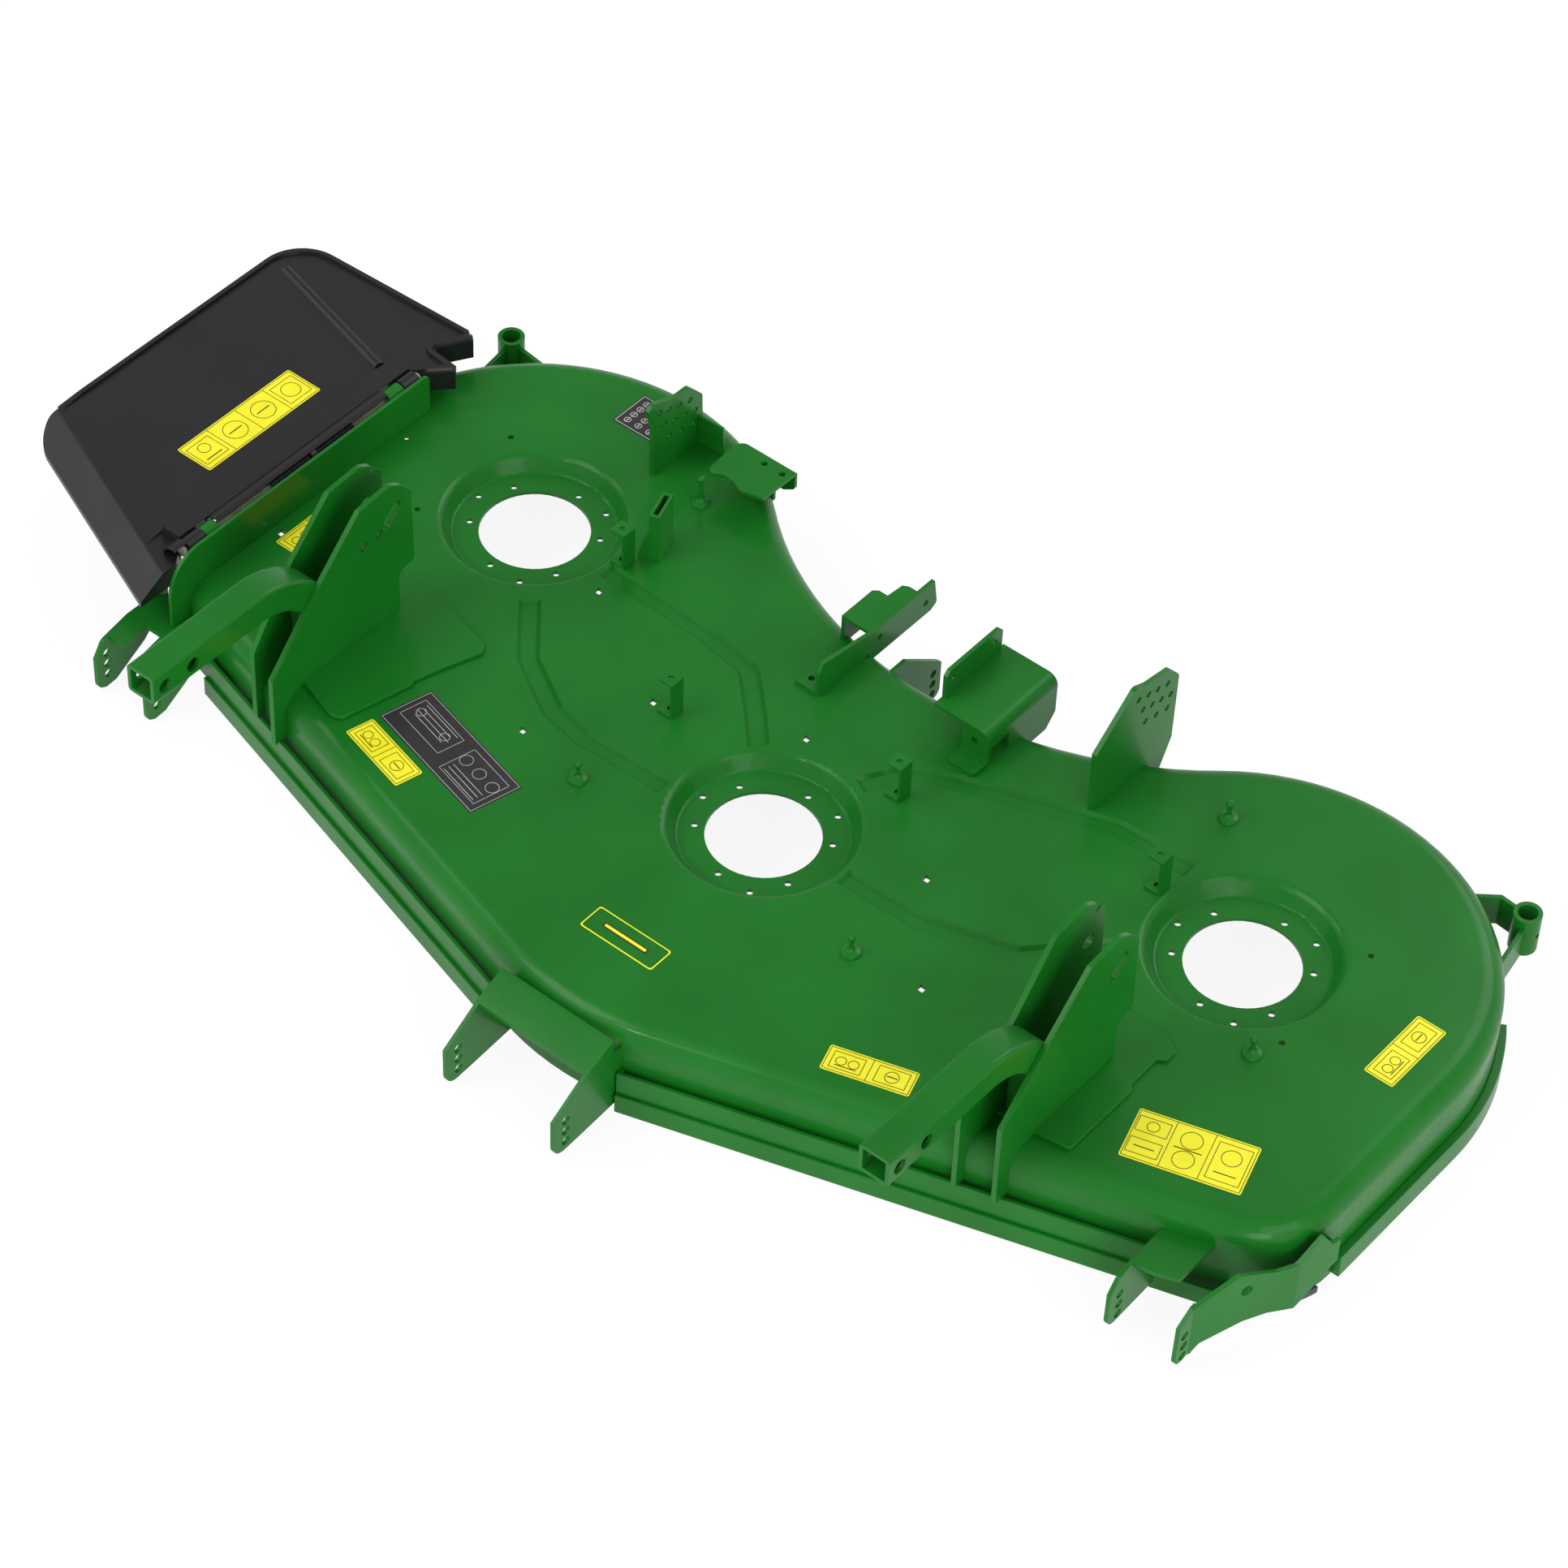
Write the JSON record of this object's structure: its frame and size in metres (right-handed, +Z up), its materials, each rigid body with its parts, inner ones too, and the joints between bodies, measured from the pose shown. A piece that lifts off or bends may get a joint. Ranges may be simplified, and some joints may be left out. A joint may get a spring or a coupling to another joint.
{
  "type": "riding mower deck",
  "caption": "Stamped mower deck shell with spindle pockets, welded mounting brackets, lift arms and a hinged side discharge chute.",
  "frame": {"origin": "axis of the centre spindle bore, on its seat plane", "axes": "+Z up along the spindle axis, +X to the machine's left, +Y to the rear"},
  "size_m": [1.7784, 0.8934, 0.3237],
  "materials": {
    "green_paint": "semi-gloss powder coat",
    "chute_plastic": "moulded, fine texture",
    "pin_steel": "zinc plated",
    "spring_steel": "black oxide",
    "skid_steel": "satin dark grey"
  },
  "bodies": {
    "deck": {"angle_bracket": "green_paint", "belt_cover_clips": "green_paint", "box_bracket": "green_paint", "channel_bracket": "green_paint", "chute_hinge_ears": "green_paint", "chute_hinge_pin": "pin_steel", "chute_hinge_wall": "green_paint", "chute_spring_front": "spring_steel", "chute_spring_rear": "spring_steel", "cover_studs": "green_paint", "deck_shell": "green_paint", "front_baffle": "green_paint", "front_centre_roller_bracket": "green_paint", "front_left_corner_guard": "green_paint", "front_left_roller_bracket": "green_paint", "front_right_roller_bracket": "green_paint", "hanger_gusset": "green_paint", "left_arm_foot": "green_paint", "left_arm_inner_plate": "green_paint", "left_arm_outer_plate": "green_paint", "left_arm_tube": "green_paint", "left_front_strip_lower": "green_paint", "left_front_strip_upper": "green_paint", "left_hanger_plate": "green_paint", "rear_left_wheel_bracket": "green_paint", "rear_left_wheel_tube": "green_paint", "rear_right_wheel_bracket": "green_paint", "rear_right_wheel_tube": "green_paint", "rear_roller_plates": "green_paint", "right_arm_foot": "green_paint", "right_arm_inner_plate": "green_paint", "right_arm_outer_plate": "green_paint", "right_arm_tube": "green_paint", "right_front_strip_lower": "green_paint", "right_front_strip_upper": "green_paint", "right_hanger_plate": "green_paint", "side_band": "green_paint", "slotted_tab": "green_paint", "wear_skid": "skid_steel", "weld_nuts": "green_paint"},
    "chute": {"discharge_chute": "chute_plastic"}
  },
  "joints": [
    {"name": "chute_hinge", "type": "hinge", "parent": "deck", "child": "chute", "pos_m": [-0.721, 0, 0.06], "axis": [0, 1, 0], "range_deg": [0, 90], "stiffness_Nm_per_rad": 1.2, "springref_deg": -34.38, "deforming": ["chute_spring_front", "chute_spring_rear"]}
  ]
}
